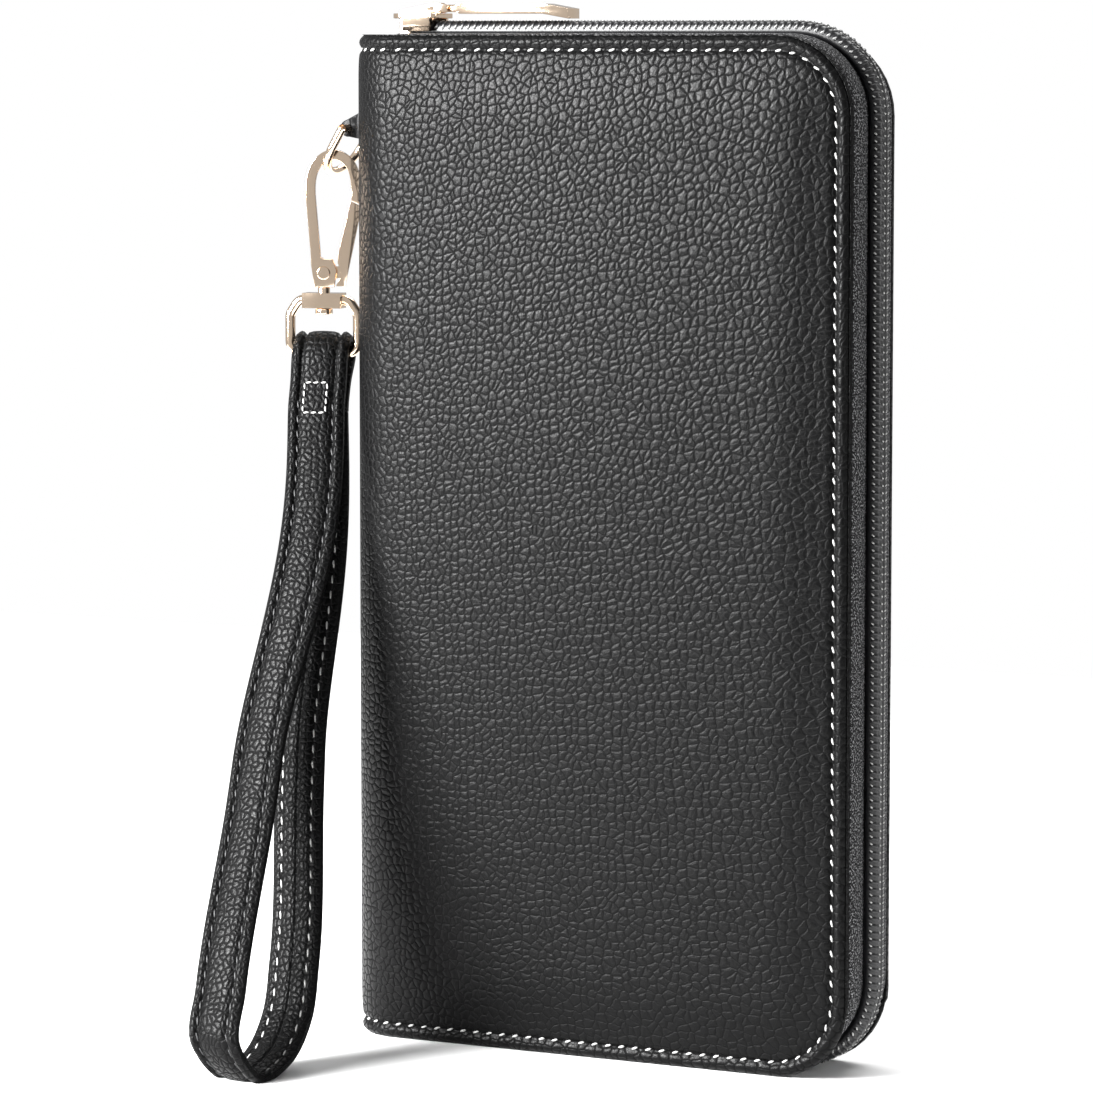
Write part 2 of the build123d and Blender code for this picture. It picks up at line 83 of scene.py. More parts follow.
# %% A helper for node trees
def add(tree, kind, inputs=None, **settings):
    made = tree.nodes.new(kind)
    for name, value in settings.items():
        setattr(made, name, value)
    for name, value in (inputs or {}).items():
        if isinstance(value, bpy.types.NodeSocket):
            tree.links.new(value, made.inputs[name])
        else:
            made.inputs[name].default_value = value
    return made


def math_node(tree, operation, first, second=0.5):
    return add(tree, "ShaderNodeMath", {0: first, 1: second}, operation=operation).outputs[0]


# %% [markdown]
# Pebbled leather is a skin of small domes between creases. The distance to the nearest edge of a
# Voronoi cell gives exactly that: zero in the crease and high on the dome. A little noise bends
# the creases so that they do not look like cut glass, and a finer set of cells cuts some domes.

# %% Pebbled grain, a group that every leather uses
def new_group(name, sockets_in, sockets_out):
    group = bpy.data.node_groups.new(name, "ShaderNodeTree")
    for label, kind, value in sockets_in:
        socket = group.interface.new_socket(label, in_out="INPUT", socket_type=kind)
        if value is not None:
            socket.default_value = value
    for label, kind in sockets_out:
        group.interface.new_socket(label, in_out="OUTPUT", socket_type=kind)
    return group, group.nodes.new("NodeGroupInput").outputs, group.nodes.new("NodeGroupOutput").inputs


def make_pebble_group():
    group, given, result = new_group(
        "pebbled_grain",
        [("Vector", "NodeSocketVector", None), ("Cells", "NodeSocketFloat", 50.0),
         ("Crease", "NodeSocketFloat", 0.16)],
        [("Height", "NodeSocketFloat"), ("Dome", "NodeSocketFloat")],
    )
    wander = add(group, "ShaderNodeTexNoise", {"Vector": given["Vector"], "Detail": 2.0, "Scale": math_node(
        group, "MULTIPLY", given["Cells"], 0.8)})
    centred = add(group, "ShaderNodeVectorMath", {0: wander.outputs["Color"], 1: (0.5, 0.5, 0.5)},
                  operation="SUBTRACT")
    size = math_node(group, "DIVIDE", 0.7, given["Cells"])
    shift = add(group, "ShaderNodeVectorMath", {0: centred.outputs[0], "Scale": size}, operation="SCALE")
    where = add(group, "ShaderNodeVectorMath", {0: given["Vector"], 1: shift.outputs[0]}, operation="ADD")
    cells = {"Vector": where.outputs[0], "Scale": given["Cells"], "Randomness": 0.85}
    edge = add(group, "ShaderNodeTexVoronoi", cells, feature="DISTANCE_TO_EDGE", voronoi_dimensions="2D")
    small = add(group, "ShaderNodeTexVoronoi", {
        "Vector": where.outputs[0], "Scale": math_node(group, "MULTIPLY", given["Cells"], 1.9),
        "Randomness": 1.0}, feature="DISTANCE_TO_EDGE", voronoi_dimensions="2D")
    crease = add(group, "ShaderNodeMapRange", {"Value": edge.outputs["Distance"],
                                               "From Max": given["Crease"]},
                 interpolation_type="SMOOTHSTEP")
    round_top = add(group, "ShaderNodeMapRange", {"Value": edge.outputs["Distance"], "From Max": 0.45},
                    interpolation_type="SMOOTHERSTEP")
    cut = add(group, "ShaderNodeMapRange", {"Value": small.outputs["Distance"], "From Max": 0.1})
    fine = add(group, "ShaderNodeTexNoise", {"Vector": given["Vector"], "Detail": 2.0, "Scale": math_node(
        group, "MULTIPLY", given["Cells"], 6.0)})
    total = math_node(group, "MULTIPLY", crease.outputs["Result"], 0.5)
    for share, amount in ((round_top.outputs["Result"], 0.4), (cut.outputs["Result"], 0.12),
                          (fine.outputs[0], 0.14)):
        total = math_node(group, "ADD", total, math_node(group, "MULTIPLY", share, amount))
    # Dome sets the roughness, and in the leathers it also places the painted shade of the creases.
    dome = math_node(group, "MULTIPLY", crease.outputs["Result"], math_node(
        group, "ADD", math_node(group, "MULTIPLY", cut.outputs["Result"], 0.3), 0.7))
    group.links.new(total, result["Height"])
    group.links.new(dome, result["Dome"])
    return group


pebble_group = make_pebble_group()
print("group", pebble_group.name)

# %% [markdown]
# Woven tape and lining share one weave: two sine waves at right angles, one for each set of
# threads, with the higher one on top. A third input breaks it up with small loose fibres, and
# pale flecks of painted sheen are laid on the raised threads.

# %% Weave, a group for the tape and the linings
def make_weave_group():
    group, given, result = new_group(
        "woven_threads",
        [("Vector", "NodeSocketVector", None), ("Threads", "NodeSocketFloat", 200.0),
         ("Fuzz", "NodeSocketFloat", 0.4)],
        [("Height", "NodeSocketFloat"), ("Painted sheen", "NodeSocketFloat")],
    )
    parts = add(group, "ShaderNodeSeparateXYZ", {0: given["Vector"]})
    waves = []
    for axis, shift in (("X", 0.0), ("Y", 1.57)):
        turn = math_node(group, "MULTIPLY", parts.outputs[axis], given["Threads"])
        turn = math_node(group, "MULTIPLY", turn, 2 * math.pi)
        waves.append(math_node(group, "SINE", math_node(group, "ADD", turn, shift), 0.0))
    top = math_node(group, "MULTIPLY", waves[0], waves[1])
    top = math_node(group, "MULTIPLY", math_node(group, "ADD", top, 1.0), 0.5)
    fuzz = add(group, "ShaderNodeTexNoise", {"Vector": given["Vector"], "Scale": math_node(
        group, "MULTIPLY", given["Threads"], 1.3), "Detail": 4.0})
    mixed = math_node(group, "MULTIPLY", fuzz.outputs[0], given["Fuzz"])
    group.links.new(math_node(group, "ADD", top, mixed), result["Height"])
    painted_sheen = add(group, "ShaderNodeMapRange", {"Value": fuzz.outputs[0], "From Min": 0.5, "From Max": 0.62})
    group.links.new(math_node(group, "MULTIPLY", painted_sheen.outputs["Result"], top), result["Painted sheen"])
    return group


weave_group = make_weave_group()
print("group", weave_group.name)

# %% [markdown]
# Every finish on the wallet comes from one of four recipes: pebbled leather, woven cloth, plated
# metal, and a plain matt stuff for thread, nylon, foam and board. The black leather reflects
# little, so it is given a low specular level, and its creases are rougher than its domes. The
# plating is a pale gold, with a polish that wanders slightly. Nothing here is a picture: each
# finish is a pattern worked out at the point that is being shaded.

# %% Materials
def new_material(name):
    material = bpy.data.materials.new(name)
    material.use_nodes = True
    tree = material.node_tree
    shader = tree.nodes["Principled BSDF"]
    return material, tree, shader


LEATHER_SPECULAR = 0.11


def leather_material(name, cells, crease, dark, light, depth, rough, coords="UV"):
    """Black leather: the creases are rougher than the polished domes, and darker in colour as painted shade.
    """
    material, tree, shader = new_material(name)
    place = add(tree, "ShaderNodeTexCoord")
    grain = add(tree, "ShaderNodeGroup", node_tree=pebble_group)
    tree.links.new(place.outputs[coords], grain.inputs["Vector"])
    grain.inputs["Cells"].default_value = cells
    grain.inputs["Crease"].default_value = crease
    # Painted shade: the creases take the darker colour and the domes the lighter one.
    painted_light_tint = add(tree, "ShaderNodeMix", {"Factor": grain.outputs["Dome"], 6: (*dark, 1), 7: (*light, 1)},
               data_type="RGBA")
    gloss = add(tree, "ShaderNodeMapRange", {"Value": grain.outputs["Dome"], "To Min": rough + 0.5,
                                             "To Max": rough})
    bump = add(tree, "ShaderNodeBump", {"Height": grain.outputs["Height"], "Strength": 1.0,
                                        "Distance": depth * MM})
    tree.links.new(painted_light_tint.outputs[2], shader.inputs["Base Color"])
    tree.links.new(gloss.outputs["Result"], shader.inputs["Roughness"])
    tree.links.new(bump.outputs["Normal"], shader.inputs["Normal"])
    shader.inputs["Specular IOR Level"].default_value = LEATHER_SPECULAR
    return material


def cloth_material(name, threads, fuzz, dark, light, depth, coords="UV"):
    material, tree, shader = new_material(name)
    place = add(tree, "ShaderNodeTexCoord")
    weave = add(tree, "ShaderNodeGroup", node_tree=weave_group)
    tree.links.new(place.outputs[coords], weave.inputs["Vector"])
    weave.inputs["Threads"].default_value = threads
    weave.inputs["Fuzz"].default_value = fuzz
    # Painted sheen: the paler colour goes on flecks of the raised threads.
    painted_light_tint = add(tree, "ShaderNodeMix", {"Factor": weave.outputs["Painted sheen"], 6: (*dark, 1), 7: (*light, 1)},
               data_type="RGBA")
    bump = add(tree, "ShaderNodeBump", {"Height": weave.outputs["Height"], "Strength": 0.8,
                                        "Distance": depth * MM})
    tree.links.new(painted_light_tint.outputs[2], shader.inputs["Base Color"])
    tree.links.new(bump.outputs["Normal"], shader.inputs["Normal"])
    shader.inputs["Roughness"].default_value = 0.85
    shader.inputs["Specular IOR Level"].default_value = 0.15
    return material


def metal_material(name, colour, rough, depth=0.004):
    """Polished plating: a bright colour with faint uneven polish."""
    material, tree, shader = new_material(name)
    place = add(tree, "ShaderNodeTexCoord")
    polish = add(tree, "ShaderNodeTexNoise", {"Vector": place.outputs["Object"], "Scale": 900.0,
                                              "Detail": 3.0})
    gloss = add(tree, "ShaderNodeMapRange", {"Value": polish.outputs[0], "To Min": rough,
                                             "To Max": rough + 0.08})
    tone = add(tree, "ShaderNodeMix", {"Factor": polish.outputs[0], 6: (*colour, 1),
                                       7: (*[c * 0.94 for c in colour], 1)}, data_type="RGBA")
    bump = add(tree, "ShaderNodeBump", {"Height": polish.outputs[0], "Strength": 0.3,
                                        "Distance": depth * MM})
    tree.links.new(gloss.outputs["Result"], shader.inputs["Roughness"])
    tree.links.new(tone.outputs[2], shader.inputs["Base Color"])
    tree.links.new(bump.outputs["Normal"], shader.inputs["Normal"])
    shader.inputs["Metallic"].default_value = 1.0
    return material


def plain_material(name, colour, rough, grain_scale, depth):
    """Thread, nylon, foam and board: one colour with a fine uneven surface."""
    material, tree, shader = new_material(name)
    place = add(tree, "ShaderNodeTexCoord")
    grain = add(tree, "ShaderNodeTexNoise", {"Vector": place.outputs["Object"], "Scale": grain_scale,
                                             "Detail": 3.0})
    tone = add(tree, "ShaderNodeMix", {"Factor": grain.outputs[0], 6: (*[c * 0.7 for c in colour], 1),
                                       7: (*colour, 1)}, data_type="RGBA")
    bump = add(tree, "ShaderNodeBump", {"Height": grain.outputs[0], "Strength": 0.6, "Distance": depth * MM})
    tree.links.new(tone.outputs[2], shader.inputs["Base Color"])
    tree.links.new(bump.outputs["Normal"], shader.inputs["Normal"])
    shader.inputs["Roughness"].default_value = rough
    return material


# In each leather the first colour goes in the creases as painted shade, and the second goes on the domes.
cover_leather = leather_material("black_pebbled_leather", 63.0, 0.15, (0.0008, 0.0008, 0.0009),
                                 (0.0016, 0.0016, 0.0017), 0.13, 0.33)
strap_leather = leather_material("strap_leather", 72.0, 0.2, (0.0006, 0.0006, 0.0007),
                                 (0.0012, 0.0012, 0.0013), 0.14, 0.3)
smooth_leather = leather_material("pocket_leather", 900.0, 0.3, (0.008, 0.008, 0.0085),
                                  (0.016, 0.016, 0.017), 0.05, 0.5, coords="Object")
rounded_leather = leather_material("tab_leather", 700.0, 0.2, (0.002, 0.002, 0.0022),
                                   (0.009, 0.009, 0.0095), 0.1, 0.34, coords="Object")
# In both cloths the second colour is painted sheen on the raised threads.
lining_cloth = cloth_material("lining_cloth", 1600.0, 0.4, (0.008, 0.008, 0.01), (0.03, 0.03, 0.034),
                              0.08, coords="Object")
tape_cloth = cloth_material("zip_tape_cloth", 190.0, 0.9, (0.003, 0.003, 0.0035), (0.42, 0.42, 0.43), 0.16)
gold = metal_material("pale_gold", (0.96, 0.76, 0.58), 0.07)
nylon = plain_material("black_nylon", (0.008, 0.008, 0.009), 0.35, 2500.0, 0.02)
thread = plain_material("pale_grey_thread", (0.5, 0.5, 0.49), 0.6, 6000.0, 0.04)
dark_thread = plain_material("black_thread", (0.012, 0.012, 0.013), 0.5, 6000.0, 0.04)
foam = plain_material("padding_foam", (0.3, 0.3, 0.3), 0.9, 1500.0, 0.1)
board = plain_material("stiff_board", (0.3, 0.27, 0.22), 0.9, 1200.0, 0.05)
print("materials", len(bpy.data.materials))

# %% [markdown]
# The covers and the spine are one skin: on the wallet a single piece of leather runs from the
# front edge, round the spine, to the back edge. It is easiest to draw flat: a distance across, which is
# negative round the spine, and a height. Loops that run parallel to the edge carry the turned
# edge, the sewn groove and the start of the padding, and a plain grid fills the middle.

# %% Flat coordinates of the skin
SPINE_STEPS = 10
PANEL_STEPS = 34
RISE_STEPS = 66
CORNER_STEPS = 10
INNER_X = EDGE - CORNER


def spread(start, stop, steps):
    return [start + (stop - start) * i / steps for i in range(steps + 1)]


def across_columns(first):
    """Where the upright rows of points stand: round the spine from first, then over the panel."""
    spine = spread(first, 0, SPINE_STEPS)[:-1] if first < 0 else []
    return spine + spread(max(first, 0), INNER_X, PANEL_STEPS)


RISE = spread(CORNER, HEIGHT - CORNER, RISE_STEPS)


def edge_path(inset, columns):
    """Points parallel to the free edges, from the bottom of the spine round to its top."""
    radius = CORNER - inset
    low = [(x, inset) for x in columns]
    corner = [math.radians(90 * i / CORNER_STEPS) for i in range(1, CORNER_STEPS + 1)]
    turn_up = [(INNER_X + radius * math.sin(a), CORNER - radius * math.cos(a)) for a in corner]
    side = [(EDGE - inset, z) for z in RISE[1:]]
    turn_in = [(INNER_X + radius * math.cos(a), HEIGHT - CORNER + radius * math.sin(a)) for a in corner]
    high = [(x, HEIGHT - inset) for x in reversed(columns[:-1])]
    return low + turn_up + side + turn_in + high


def fold(across, up, depth, side):
    """A flat point at some depth from the middle plane, in the row frame, in metres."""
    if across >= 0:
        return Vector((across, side * depth, up)) * MM
    angle = -across / SPINE_R
    return Vector((-depth * math.sin(angle), side * depth * math.cos(angle), up)) * MM


print("skin", len(edge_path(0, across_columns(-SPINE_R * math.pi / 2))), "points round the edge")


# %% [markdown]
# The profile says how far the leather stands out at a given distance from the edge: it rolls
# over at the edge, swells a little in the rim, dips at the sewn line and rises over the padding.

# %% The skin's profile
STITCH_IN = 3.0
ROLL = 1.3


def smooth(value):
    value = min(max(value, 0.0), 1.0)
    return value * value * (3 - 2 * value)


def stand_out(inset, across, up):
    roll = ROLL - math.sqrt(max(ROLL ** 2 - max(ROLL - inset, 0) ** 2, 0))
    rim = 0.28 * math.exp(-((inset - 1.5) / 0.7) ** 2)
    groove = 0.42 * math.exp(-((inset - STITCH_IN) / 0.5) ** 2)
    near = 0.45 * (1 - math.exp(-max(inset - STITCH_IN, 0) / 1.4))
    swell = 1.15 * smooth((inset - 4.0) / 11.0)
    fade = smooth((across + 9.0) / 16.0)
    middle = 0.5 * math.sin(math.pi * min(max(across / EDGE, 0), 1)) * math.sin(math.pi * up / HEIGHT)
    return rim - roll - groove + near + (swell + middle) * fade


SKIN_INSETS = [0, 0.12, 0.35, 0.7, 1.1, 1.6, 2.1, 2.5, 2.8, 3.0, 3.2, 3.5, 4.0, 4.8, 6, 7.5, 9.5, 12, CORNER]
# How far along the skin, how far in from the edge, and how deep each loop of the wall lies
WALL = [(-3.6, 2.2, -0.2), (-2.0, 0.6, 0.0), (-1.4, 0.1, 0.25), (-0.8, 0.0, 0.7)]


def wall_end(up):
    """The wall is a thin turned edge, and deeper along the bottom, where the tape stands back."""
    return 8.0 + 1.4 * smooth((up - 4) / 10)


print("loops from the wall to the middle", len(WALL) + len(SKIN_INSETS))

# %% [markdown]
# Each cover's leather is then built from those loops. A cut-out sheet with a bevel would have an
# even edge all round, but the real edge is folded over a board and sewn, so it needs its own
# profile. The skin is given the leather's thickness and runs round its half of the spine. The
# CAD leather of both covers and of the spine gives way to these two skins.

# %% Building a skin from loops
class Skin:
    """Collects points and faces, and keeps one point where several loops meet."""

    def __init__(self, side):
        self.side = side
        self.points = []
        self.flat = []
        self.faces = []
        self.known = {}

    def point(self, across, up, depth, flat):
        key = (round(across, 3), round(up, 3), round(depth, 3))
        if key not in self.known:
            self.known[key] = len(self.points)
            self.points.append(fold(across, up, depth, self.side))
            self.flat.append(flat)
        return self.known[key]

    def face(self, corners):
        kept = []
        for corner in corners:
            if corner not in kept:
                kept.append(corner)
        if len(kept) > 2:
            self.faces.append(kept)

    def strip(self, first, second):
        for i in range(len(first) - 1):
            self.face((first[i], first[i + 1], second[i + 1], second[i]))

    def mesh(self, name):
        data = bpy.data.meshes.new(name)
        data.from_pydata([tuple(p) for p in self.points], [], self.faces)
        layer = data.uv_layers.new(name="grain")
        for loop in data.loops:
            layer.data[loop.index].uv = grain_place(*self.flat[loop.vertex_index])
        return data


def grain_place(across, up):
    """The skin's own map, in tenths of a metre. The pebbles grow a little away from the spine."""
    wide = across / 100
    tall = up / 100
    grown = max(wide, 0)
    return wide - 0.17 * grown ** 2 + 0.06 * tall * grown, tall * (1 - 0.14 * grown) + 0.04 * grown


def skin_loops(skin, columns):
    loops = []
    for along, inset, depth in WALL:
        places = zip(edge_path(inset, columns), edge_path(along, columns))
        loops.append([skin.point(x, z, wall_end(z) + depth, flat) for (x, z), flat in places])
    for inset in SKIN_INSETS:
        loops.append([skin.point(x, z, SPINE_R + stand_out(inset, x, z), (x, z))
                      for x, z in edge_path(inset, columns)])
    return loops


def fill_middle(skin, columns):
    rows = [[skin.point(x, z, SPINE_R + stand_out(CORNER, x, z), (x, z)) for x in columns] for z in RISE]
    for low, high in zip(rows, rows[1:]):
        skin.strip(low, high)


def as_object(name, data, material=None):
    made = bpy.data.objects.new(name, data)
    bpy.context.scene.collection.objects.link(made)
    if material:
        data.materials.clear()
        data.materials.append(material)
    return made


def finish_mesh(made):
    """Apply the modifiers, turn the faces outwards and smooth them."""
    graph = bpy.context.evaluated_depsgraph_get()
    data = bpy.data.meshes.new_from_object(made.evaluated_get(graph))
    made.modifiers.clear()
    made.data = data
    work = bmesh.new()
    work.from_mesh(data)
    bmesh.ops.remove_doubles(work, verts=work.verts, dist=1e-7)
    bmesh.ops.recalc_face_normals(work, faces=work.faces)
    work.to_mesh(data)
    work.free()
    for face in data.polygons:
        face.use_smooth = True
    return made


def outward(data, side):
    """Turn every face so that the panel's middle looks away from the wallet."""
    data.update()
    middle = max(data.polygons, key=lambda f: f.area)
    if middle.normal.y * side < 0:
        data.flip_normals()


def cover_skin(name, side):
    skin = Skin(side)
    columns = across_columns(-SPINE_R * math.pi / 2)
    loops = skin_loops(skin, columns)
    for first, second in zip(loops, loops[1:]):
        skin.strip(first, second)
    fill_middle(skin, columns)
    data = skin.mesh(name)
    work = bmesh.new()
    work.from_mesh(data)
    bmesh.ops.recalc_face_normals(work, faces=work.faces)
    work.to_mesh(data)
    work.free()
    outward(data, side)
    made = as_object(name, data, cover_leather)
    shell = made.modifiers.new("thickness", "SOLIDIFY")
    shell.thickness = 0.5 * MM
    shell.offset = -1
    finish_mesh(made)
    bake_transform(made)
    return made


front_skin = cover_skin("front_skin", -1)
back_skin = cover_skin("back_skin", 1)
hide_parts("front_cover_leather", "spine_leather")
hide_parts("back_cover_leather")
print("skins", len(front_skin.data.polygons), len(back_skin.data.polygons))


# %% [markdown]
# Padding fills each panel under the leather. It is a thin sheet of foam that is cut smaller than
# the panel, so it is crowned in the middle and thins to nothing at the sewn line. It could be
# blown up as a cushion, but it is held flat between board and leather, so it follows the skin's
# profile a little deeper. It only shows where the leather swells over it.

# %% Padding under the panels
def pad(name, side, body, node):
    skin = Skin(side)
    columns = across_columns(2.0)
    floor = SPINE_R - 1.85
    insets = [4.6, 5.0, 6, 7.5, 9.5, 12, CORNER]

    def depth(inset, x, z):
        lift = smooth((inset - 4.5) / 2.5) * smooth((x - 1.9) / 6.0)
        return floor + 0.1 + lift * (SPINE_R + stand_out(inset, x, z) - 0.75 - floor)

    tops = [[skin.point(x, z, depth(i, x, z), (x, z)) for x, z in edge_path(i, columns)] for i in insets]
    for first, second in zip(tops, tops[1:]):
        skin.strip(first, second)
    rows = [[skin.point(x, z, depth(CORNER, x, z), (x, z)) for x in columns] for z in RISE]
    for low, high in zip(rows, rows[1:]):
        skin.strip(low, high)
    data = skin.mesh(name)
    outward(data, side)
    work = bmesh.new()
    work.from_mesh(data)
    open_edges = [e for e in work.edges if e.is_boundary]
    made_under = bmesh.ops.extrude_edge_only(work, edges=open_edges)["geom"]
    under = [v for v in made_under if isinstance(v, bmesh.types.BMVert)]
    for vertex in under:
        vertex.co.y = side * floor * MM
    bmesh.ops.contextual_create(work, geom=[e for e in work.edges if e.is_boundary])
    bmesh.ops.recalc_face_normals(work, faces=work.faces)
    work.to_mesh(data)
    work.free()
    made = as_object(name, data, foam)
    finish_mesh(made)
    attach(made, body)
    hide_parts(node)
    return made


for cover, side in (("front", -1), ("back", 1)):
    made = pad(f"{cover}_pad", side, f"{cover}_cover", f"{cover}_padding")
    print(made.name, len(made.data.polygons), "faces")


# %% [markdown]
# The zip tape is a narrow band of woven cloth. It comes out from under the cover's edge, crosses
# towards the middle and lies under the coil. A cloth strip would have to be bent round two
# corners, and this one can't wrinkle there, so one cross-section is carried along the edge path.
# The same is done for the coil's round core. The back tape starts later, where the parked slider
# swings past it.

# %% Carrying a cross-section along the zip
BASE_GROW = tape_high.x - EDGE
BASE_LOW = tape_low.z
BASE_TOP = tape_high.z


def zip_path(out, start):
    """Points of the zip line, out millimetres outside the tape's outer face."""
    edge = EDGE + BASE_GROW + out
    low = BASE_LOW - out
    high = BASE_TOP + out
    radius = CORNER + out
    steps = 24
    corner = [math.radians(90 * i / CORNER_STEPS) for i in range(CORNER_STEPS + 1)]
    run = spread(start, edge - radius, steps)
    rise = spread(low + radius, high - radius, 2 * steps)
    path = [(x, low) for x in run[:-1]]
    path += [(edge - radius + radius * math.sin(a), low + radius - radius * math.cos(a)) for a in corner]
    path += [(edge, z) for z in rise[1:-1]]
    path += [(edge - radius + radius * math.cos(a), high - radius + radius * math.sin(a)) for a in corner]
    path += [(x, high) for x in reversed(run[:-1])]
    return path


def band(name, side, section, start, material, body):
    """A closed band whose section is a list of (depth, out) points, carried along the zip."""
    points = []
    faces = []
    uvs = []
    paths = [zip_path(out, start) for depth, out in section]
    count = len(section)
    length = len(paths[0])
    travelled = [0.0]
    for (x0, z0), (x1, z1) in zip(paths[0], paths[0][1:]):
        travelled.append(travelled[-1] + math.hypot(x1 - x0, z1 - z0))
    round_way = [0.0]
    for (d0, o0), (d1, o1) in zip(section, section[1:] + section[:1]):
        round_way.append(round_way[-1] + math.hypot(d1 - d0, o1 - o0))
    for i in range(length):
        for (depth, out), path in zip(section, paths):
            x, z = path[i]
            points.append((x * MM, side * depth * MM, z * MM))
    for i in range(length - 1):
        for j in range(count):
            k = (j + 1) % count
            faces.append((i * count + j, i * count + k, (i + 1) * count + k, (i + 1) * count + j))
            uvs.append([(travelled[i], round_way[j]), (travelled[i], round_way[j + 1]),
                        (travelled[i + 1], round_way[j + 1]), (travelled[i + 1], round_way[j])])
    faces.append(tuple(range(count)))
    faces.append(tuple((length - 1) * count + j for j in reversed(range(count))))
    uvs += [[(0, 0)] * count, [(0, 0)] * count]
    data = bpy.data.meshes.new(name)
    data.from_pydata(points, [], faces)
    layer = data.uv_layers.new(name="cloth")
    for face, corners in zip(data.polygons, uvs):
        for loop, (u, v) in zip(face.loop_indices, corners):
            layer.data[loop].uv = (u / 100, v / 100)
    made = as_object(name, data, material)
    finish_mesh(made)
    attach(made, body)
    return made


TAPE_SECTION = [(9.5, -1.5), (9.5, -0.7), (9.0, -0.35), (7.8, -0.1), (6.4, 0.0), (4.8, 0.0), (3.6, -0.15),
                (2.9, -0.45), (0.3, -0.5), (0.3, -1.0), (3.0, -1.0), (4.8, -0.6), (7.8, -0.7), (9.0, -1.0)]
CORE_SECTION = [(0.3, -0.45), (2.3, -0.45), (2.5, 0.5), (2.35, 1.5), (1.8, 2.15), (0.3, 2.4)]

COIL_START = {"front": 0.4, "back": 7.6}
for cover, side, start in (("front", -1, 0.3), ("back", 1, 7.3)):
    tape = band(f"{cover}_tape", side, TAPE_SECTION, start, tape_cloth, f"{cover}_cover")
    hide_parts(f"{cover}_zip_tape")
    core = band(f"{cover}_coil_core", side, CORE_SECTION, COIL_START[cover], nylon, f"{cover}_cover")
    print(tape.name, len(tape.data.polygons), core.name, len(core.data.polygons))


# %% [markdown]
# Stitches, coil teeth and the pale glints painted on the coil are the same job: one small shape,
# placed again and again along a line. Geometry Nodes does it from a cloud of points that carry
# two directions, along the line and out of the surface.

# %% A node tree that places a small shape on every point
def make_row_tree():
    tree = bpy.data.node_groups.new("row_of_small_shapes", "GeometryNodeTree")
    tree.interface.new_socket("Geometry", in_out="INPUT", socket_type="NodeSocketGeometry")
    for label, value in (("Length", 0.001), ("Width", 0.001), ("Thickness", 0.001), ("Slant", 0.0),
                         ("Unevenness", 0.0)):
        tree.interface.new_socket(label, in_out="INPUT", socket_type="NodeSocketFloat").default_value = value
    tree.interface.new_socket("Sides", in_out="INPUT", socket_type="NodeSocketInt").default_value = 8
    tree.interface.new_socket("Seed", in_out="INPUT", socket_type="NodeSocketInt").default_value = 3
    tree.interface.new_socket("Material", in_out="INPUT", socket_type="NodeSocketMaterial")
    tree.interface.new_socket("Geometry", in_out="OUTPUT", socket_type="NodeSocketGeometry")
    given = tree.nodes.new("NodeGroupInput").outputs
    out = tree.nodes.new("NodeGroupOutput").inputs
    ball = add(tree, "GeometryNodeMeshUVSphere", {"Segments": given["Sides"], "Rings": 5, "Radius": 0.5})
    size = add(tree, "ShaderNodeCombineXYZ", {"X": given["Length"], "Y": given["Width"],
                                              "Z": given["Thickness"]})
    along = add(tree, "GeometryNodeInputNamedAttribute", {"Name": "along"}, data_type="FLOAT_VECTOR")
    away = add(tree, "GeometryNodeInputNamedAttribute", {"Name": "away"}, data_type="FLOAT_VECTOR")
    stand = add(tree, "FunctionNodeAxesToRotation", {0: along.outputs[0], 1: away.outputs[0]},
                primary_axis="X", secondary_axis="Z")
    least = add(tree, "ShaderNodeMath", {0: given["Slant"], 1: given["Unevenness"]}, operation="SUBTRACT")
    most = add(tree, "ShaderNodeMath", {0: given["Slant"], 1: given["Unevenness"]}, operation="ADD")
    chance = add(tree, "FunctionNodeRandomValue", {"Seed": given["Seed"]}, data_type="FLOAT")
    tree.links.new(least.outputs[0], chance.inputs[2])
    tree.links.new(most.outputs[0], chance.inputs[3])
    turn = add(tree, "ShaderNodeCombineXYZ", {"Z": chance.outputs[1]})
    angle = add(tree, "FunctionNodeEulerToRotation", {0: turn.outputs[0]})
    turned = add(tree, "FunctionNodeRotateRotation", {0: stand.outputs[0], 1: angle.outputs[0]},
                 rotation_space="LOCAL")
    cloud = add(tree, "GeometryNodeMeshToPoints", {"Mesh": given["Geometry"]})
    placed = add(tree, "GeometryNodeInstanceOnPoints", {
        "Points": cloud.outputs[0], "Instance": ball.outputs["Mesh"], "Rotation": turned.outputs[0],
        "Scale": size.outputs[0]})
    real = add(tree, "GeometryNodeRealizeInstances", {0: placed.outputs[0]})
    soft = add(tree, "GeometryNodeSetShadeSmooth", {0: real.outputs[0]})
    coloured = add(tree, "GeometryNodeSetMaterial", {"Geometry": soft.outputs[0],
                                                     "Material": given["Material"]})
    tree.links.new(coloured.outputs[0], out[0])
    return tree


row_tree = make_row_tree()


def row(name, places, size, material, body, slant=0.0, uneven=0.0):
    """A row of small shapes. Each place is (point, along, away) with the point in millimetres."""
    data = bpy.data.meshes.new(name)
    data.from_pydata([tuple(Vector(p) * MM) for p, along, away in places], [], [])
    for label, pick in (("along", 1), ("away", 2)):
        attribute = data.attributes.new(label, "FLOAT_VECTOR", "POINT")
        for i, place in enumerate(places):
            attribute.data[i].vector = place[pick]
    made = as_object(name, data)
    modifier = made.modifiers.new("row", "NODES")
    modifier.node_group = row_tree
    values = {"Length": size[0] * MM, "Width": size[1] * MM, "Thickness": size[2] * MM, "Slant": slant,
              "Unevenness": uneven, "Sides": 8, "Seed": 3, "Material": material}
    for item in row_tree.interface.items_tree:
        if item.in_out == "INPUT" and item.name in values:
            modifier[item.identifier] = values[item.name]
    graph = bpy.context.evaluated_depsgraph_get()
    solid = bpy.data.meshes.new_from_object(made.evaluated_get(graph))
    made.modifiers.clear()
    made.data = solid
    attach(made, body)
    return made


